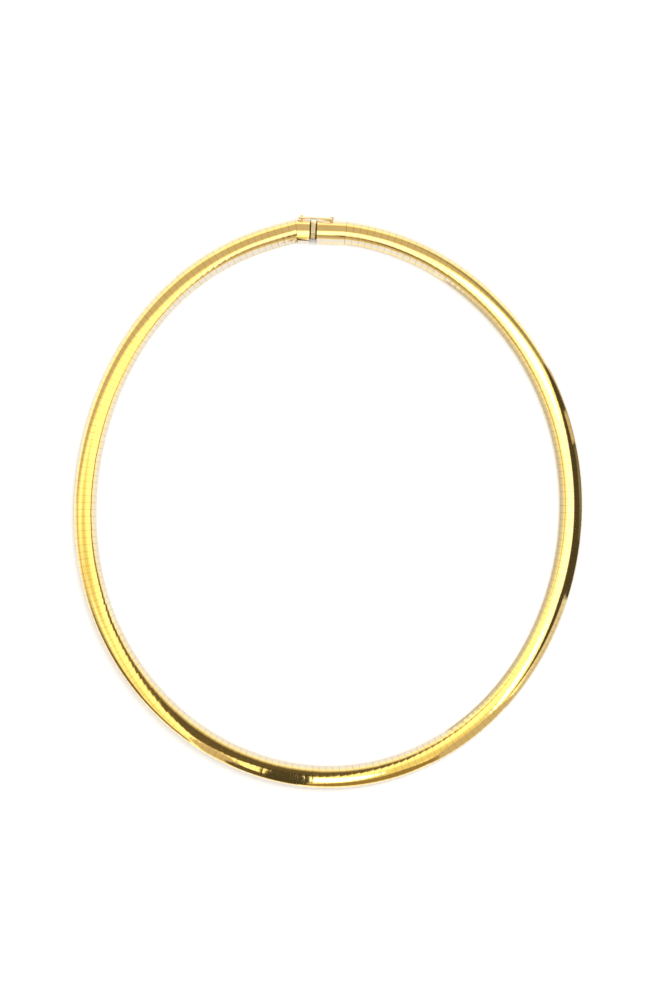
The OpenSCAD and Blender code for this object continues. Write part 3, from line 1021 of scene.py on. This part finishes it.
# Cards of the light tent, the later over the earlier: a tone, the softness of the edges in
# millimetres, and an outline. Each point of it has degrees round the necklace, 0 at the right and
# 90 at the clasp, and the upper and lower places across the dome between which the card is seen
# there, in millimetres outwards from the dome's middle.
CARDS = (
    # Both rims
    (COOL, 0.4, ((0, 3.2, 2.45), (360, 3.2, 2.45))),
    (COOL, 0.4, ((38, 3.2, 2.5), (70, 3.2, 1.9), (130, 3.2, 1.9), (154, 3.2, 2.5))),
    (COOL, 0.4, ((55, -1.9, -3.2), (305, -1.9, -3.2))),
    (SNOW, 0.5, ((92, -1.7, -3.2), (115, -2.3, -3.2), (300, -2.5, -3.2))),
    (PALE, 0.4, ((-60, -1.9, -3.2), (60, -1.9, -3.2))),
    (SHADE, 0.5, ((-62, -2.45, -3.2), (62, -2.45, -3.2))),
    # The middle of the dome, at the right and top, then left and bottom
    (BRIGHT, 0.6, (
        (-42, 0.4, -0.4), (-20, 0.9, -1.1), (20, 0.9, -1.0), (68, 0.1, -0.9), (92, 0.0, -0.9),
        (112, -0.5, -1.2), (130, -0.9, -1.2),
    )),
    (WHITE, 0.5, ((20, 0.3, 0.0), (32, 1.0, -0.2), (50, 0.6, -0.5), (64, 0.0, -0.3))),
    (WARM, 0.9, (
        (148, 1.0, 0.8), (165, 0.6, 0.0), (180, 0.7, -0.2), (195, 1.2, -0.3), (212, 0.8, 0.1),
        (230, 1.8, 1.0), (243, 2.0, 1.6),
    )),
    (WARM, 0.9, ((268, 1.6, 1.2), (285, 1.4, -0.3), (308, 0.9, 0.0), (325, 0.9, 0.8))),
    # Outside the middle, from the upper right to the lower left
    (TAN, 0.8, (
        (94, 1.0, 0.1), (117, 0.9, -0.3), (130, 1.2, -0.1), (140, 1.5, 0.5), (162, 2.0, 1.15),
        (176, 2.2, 1.5), (195, 2.3, 1.55), (214, 2.3, 1.5), (226, 2.3, 1.6),
    )),
    (TAN, 0.4, (
        (28, 2.5, 1.6), (50, 1.95, 0.9), (72, 1.65, 0.2), (90, 1.65, 0.0), (98, 1.55, -0.15),
        (108, 1.5, -0.1), (126, 1.6, 0.2), (138, 1.8, 0.8), (150, 2.0, 1.25), (180, 2.3, 2.0),
    )),
    (OLIVE, 0.4, ((28, 2.5, 1.7), (50, 1.95, 1.2), (78, 1.7, 1.5))),
    # The right, with its dark strip
    (TAN, 0.4, ((-26, 3.2, 2.4), (32, 3.2, 2.5))),
    (DARK, 0.4, (
        (-22, 2.9, 0.6), (-8, 2.9, 0.65), (5, 2.9, 0.6), (12, 2.8, 0.65), (18, 2.75, 0.9),
        (28, 2.6, 1.35), (33, 2.3, 1.8),
    )),
    (OLIVE, 0.6, ((-8, 2.6, 2.3), (4, 2.6, 2.1), (13, 2.6, 2.2))),
    (TAN, 0.2, ((14.5, 2.7, 1.8), (22, 2.6, 1.8))),
    # The lower right and bottom
    (PALE, 0.3, ((-49, 3.0, 2.1), (-40, 3.0, 1.5), (-21, 3.1, 1.5))),
    (TAN, 0.4, ((-54, 2.6, 2.0), (-40, 2.5, 2.1), (-24, 2.5, 2.15))),
    (DARK, 0.3, (
        (-50, 1.4, 1.25), (-42, 1.4, 1.05), (-36, 1.5, 0.9), (-29, 1.55, 0.7), (-21, 1.6, 0.5),
    )),
    (WHITE, 0.4, ((-52, 0.9, 0.6), (-45, 0.8, -0.1), (-34, 0.3, -0.2), (-26, 0.0, -0.1))),
    (TAN, 0.3, ((-68, 2.5, 1.3), (-64, 2.6, 0.7), (-52, 2.6, 0.8), (-46, 2.4, 1.7))),
    (RUST, 0.35, ((-98, 2.3, 1.9), (-90, 2.3, 1.4), (-74, 2.4, 1.1), (-66, 2.3, 1.5))),
    (WHITE, 0.4, ((-96, 0.6, 0.4), (-92, 1.2, 0.1), (-84, 1.0, 0.1), (-78, 0.6, 0.4))),
    # The left, outside the middle
    (BROWN, 0.4, (
        (196, 2.35, 2.2), (206, 2.4, 2.0), (218, 2.45, 1.85), (228, 2.4, 1.85), (240, 2.4, 2.0),
    )),
    # Inside the middle, at the bottom left, then at the right and top
    (TAN, 0.4, ((205, -1.2, -1.5), (222, -0.9, -1.8), (258, -0.9, -1.8), (295, -1.2, -1.7))),
    (TAN, 0.35, (
        (-40, -1.5, -1.6), (-20, -1.45, -1.75), (30, -1.3, -1.75), (60, -1.1, -1.9),
        (90, -0.7, -1.8), (112, -1.4, -1.8), (126, -1.55, -1.85), (138, -1.6, -1.85),
    )),
    # The left and lower left
    (RUST, 0.3, ((184, 1.3, 1.2), (196, 1.45, 1.25), (214, 1.75, 1.6))),
    (TAN, 0.3, (
        (240, 1.6, 1.2), (243, 2.4, 0.6), (249, 2.3, 0.45), (251, 2.2, 0.9), (254, 2.2, 1.8),
    )),
    (BROWN, 0.3, ((248.5, 2.3, 1.7), (251, 2.4, 1.25), (257, 2.4, 1.3), (264, 2.4, 1.7))),
    # The dark line inside the middle, nearly all round, and the one across the lower left
    (BROWN, 0.3, (
        (30, -1.55, -1.65), (62, -1.05, -1.3), (80, -0.95, -1.3), (90, -1.0, -1.2),
        (110, -1.35, -1.55), (130, -1.6, -1.8), (150, -1.55, -1.8), (185, -1.5, -1.8),
        (200, -1.48, -1.95), (216, -1.05, -1.65), (228, -0.3, -1.35), (241, 0.7, -1.3),
        (255, 0.0, -1.4), (262, 0.05, -1.4), (270, -0.25, -1.4), (276, -0.6, -1.4),
        (282, -0.8, -1.45), (290, -1.15, -1.4), (305, -1.2, -1.45), (318, -1.2, -1.35),
    )),
    (DARK, 0.25, ((256, 1.0, 0.7), (258, 2.2, -0.45), (265.5, 2.2, -0.75), (267, 1.1, 0.5))),
)


def between(value, xs, ys):
    """The height of a line through points, at a value."""
    for i in range(len(xs) - 1):
        if value <= xs[i + 1] or i == len(xs) - 2:
            share = (value - xs[i]) / (xs[i + 1] - xs[i])
            return ys[i] + share * (ys[i + 1] - ys[i])


def card_share(card, azimuth, across):
    """How far a card covers a place of the tent, from 0 to 1."""
    _, soft, outline = card
    turns, highs, lows = zip(*outline)
    turn = turns[0] + (azimuth - turns[0]) % 360
    if turn > turns[-1]:
        return 0.0
    high, low = between(turn, turns, highs), between(turn, turns, lows)
    share = min(high - across, across - low) / soft + 0.5
    share = min(max(share, 0.0), 1.0) * min((high - low) / soft, 1.0)
    return share * share * (3 - 2 * share)


def tent_tone(azimuth, across):
    """The tent's radiance at a place."""
    colour = Vector(CLEAR)
    for card in CARDS:
        share = card_share(card, azimuth, across)
        if share > 0:
            colour = colour.lerp(Vector(card[0]), share)
    return colour


def tent_section(lean, view_turn):
    """Points of the tent across the band: out, up, and the place across the dome that shows each.

    The camera looks down at the dome, turned outwards by view_turn.
    """
    dome = dome_line(TENT_REACH, DOME_R, TENT_SPANS)
    line = [leaned(v, z, lean) for v, z in reversed(dome)]
    section = []
    for (v, z), (next_v, next_z) in zip(line, line[1:]):
        tilt = math.atan2(next_z - z, v - next_v)
        # A heading of 0 is outwards along the floor, and a quarter turn is overhead
        heading = math.pi / 2 - 2 * tilt - view_turn
        out, up = TENT_R * math.cos(heading), TENT_R * math.sin(heading)
        mid_v, mid_z = (v + next_v) / 2, (z + next_z) / 2
        if up < MAT_Z:
            # What looks down sees the mat, where the ray from the dome meets the floor
            side = 1 if out > 0 else -1
            reach = min(abs(mid_v + mid_z * out / -up), TENT_R) if up < 0 else TENT_R
            out, up = side * reach, MAT_Z
        section.append((out, up, mid_v))
    return section


def make_tent(studio, lean):
    """A light tent, half a tube and a mat with cards on them, which only reflections see."""
    section = tent_section(lean, math.atan(OVAL_L / 2 * MM / studio.camera_height))
    mesh = bmesh.new()
    glow = mesh.verts.layers.float_color.new("glow")
    grid = []
    for k in range(TENT_COLUMNS):
        here, ahead = (route_point(ROUTE_LEN * (k + part) / TENT_COLUMNS) for part in (0, 0.5))
        along = (ahead - here).normalized()
        outward = Vector((-along.y, along.x, 0))
        azimuth = math.degrees(math.atan2(here.y + MIDDLE[1], here.x + MIDDLE[0]))
        line = []
        for out, up, across in section:
            vert = mesh.verts.new((here + outward * out + Vector((0, 0, up))) * MM)
            vert[glow] = (*tent_tone(azimuth, across), 1.0)
            line.append(vert)
        grid.append(line)
    for k, left in enumerate(grid):
        right = grid[(k + 1) % TENT_COLUMNS]
        for i in range(len(section) - 1):
            mesh.faces.new((left[i], right[i], right[i + 1], left[i + 1]))
    tent = new_object("light_tent", mesh)
    material = bpy.data.materials.new("tent_light")
    material.use_nodes = True
    material.node_tree.nodes.clear()
    shade = Shade(material.node_tree)
    tone = shade.node("ShaderNodeAttribute", attribute_name="glow").outputs["Color"]
    light = shade.node("ShaderNodeEmission", {"Color": tone, "Strength": studio.tent})
    shade.node("ShaderNodeOutputMaterial", {0: light.outputs[0]})
    material.cycles.emission_sampling = "NONE"
    tent.data.materials.append(material)
    for ray in ("camera", "diffuse", "transmission", "volume_scatter", "shadow"):
        setattr(tent, f"visible_{ray}", False)


def make_sky(studio):
    """An even, pale surround."""
    world = bpy.data.worlds.new("studio")
    bpy.context.scene.world = world
    world.use_nodes = True
    background = world.node_tree.nodes["Background"]
    background.inputs["Color"].default_value = (1.0, 0.99, 0.97, 1.0)
    background.inputs["Strength"].default_value = studio.sky


def make_light(studio):
    """One broad, soft key light from the upper right, which reflections don't see."""
    data = bpy.data.lights.new("key", "SUN")
    data.angle = studio.key_spread
    data.energy = studio.key_power
    key = link_object("key", data)
    key.visible_glossy = False
    flat = math.cos(KEY_HEIGHT)
    source = (flat * math.cos(KEY_AZIMUTH), flat * math.sin(KEY_AZIMUTH), math.sin(KEY_HEIGHT))
    key.rotation_euler = (-Vector(source)).to_track_quat("-Z", "Y").to_euler()


# ---- operators ----


class NECKLACE_OT_plates(bpy.types.Operator):
    """Build the row of domed plates"""

    bl_idname = "necklace.plates"
    bl_label = "Plates"

    def execute(self, context):
        make_plates(context.scene.necklace_sizes, context.scene.necklace_finish)
        return {"FINISHED"}


class NECKLACE_OT_ribbon(bpy.types.Operator):
    """Build the woven ribbon inside the plates"""

    bl_idname = "necklace.ribbon"
    bl_label = "Woven ribbon"

    def execute(self, context):
        make_ribbon(context.scene.necklace_sizes, context.scene.necklace_finish)
        return {"FINISHED"}


class NECKLACE_OT_clasp(bpy.types.Operator):
    """Build the box, the end cap, the thumb press and the safety catch"""

    bl_idname = "necklace.clasp"
    bl_label = "Clasp"

    def execute(self, context):
        make_clasp(context.scene.necklace_sizes, context.scene.necklace_finish)
        return {"FINISHED"}


class NECKLACE_OT_studio(bpy.types.Operator):
    """Set the camera, the floor and the lights"""

    bl_idname = "necklace.studio"
    bl_label = "Studio"

    def execute(self, context):
        studio = context.scene.necklace_studio
        make_camera(studio)
        make_floor(studio)
        make_sky(studio)
        make_tent(studio, context.scene.necklace_sizes.lean)
        make_light(studio)
        context.scene.view_settings.view_transform = "Standard"
        return {"FINISHED"}


class NECKLACE_PT_panel(bpy.types.Panel):
    """Lists the necklace's pieces and settings"""

    bl_label = "Omega necklace"
    bl_idname = "NECKLACE_PT_panel"
    bl_space_type = "VIEW_3D"
    bl_region_type = "UI"
    bl_category = "Necklace"

    def draw(self, context):
        layout = self.layout
        for settings in (
            context.scene.necklace_sizes,
            context.scene.necklace_finish,
            context.scene.necklace_studio,
        ):
            box = layout.box()
            for name in settings.__annotations__:
                box.prop(settings, name)
        for operator in OPERATORS:
            layout.operator(operator.bl_idname)


OPERATORS = (NECKLACE_OT_studio, NECKLACE_OT_plates, NECKLACE_OT_ribbon, NECKLACE_OT_clasp)
SETTINGS = (
    ("necklace_sizes", NecklaceSizes),
    ("necklace_finish", NecklaceFinish),
    ("necklace_studio", StudioSettings),
)


def register():
    for name, group in SETTINGS:
        bpy.utils.register_class(group)
        setattr(bpy.types.Scene, name, bpy.props.PointerProperty(type=group))
    for operator in OPERATORS:
        bpy.utils.register_class(operator)
    bpy.utils.register_class(NECKLACE_PT_panel)


def unregister():
    bpy.utils.unregister_class(NECKLACE_PT_panel)
    for operator in reversed(OPERATORS):
        bpy.utils.unregister_class(operator)
    for name, group in reversed(SETTINGS):
        delattr(bpy.types.Scene, name)
        bpy.utils.unregister_class(group)


def main():
    register()
    bpy.ops.necklace.studio()
    bpy.ops.necklace.plates()
    bpy.ops.necklace.ribbon()
    bpy.ops.necklace.clasp()


if __name__ == "__main__":
    main()
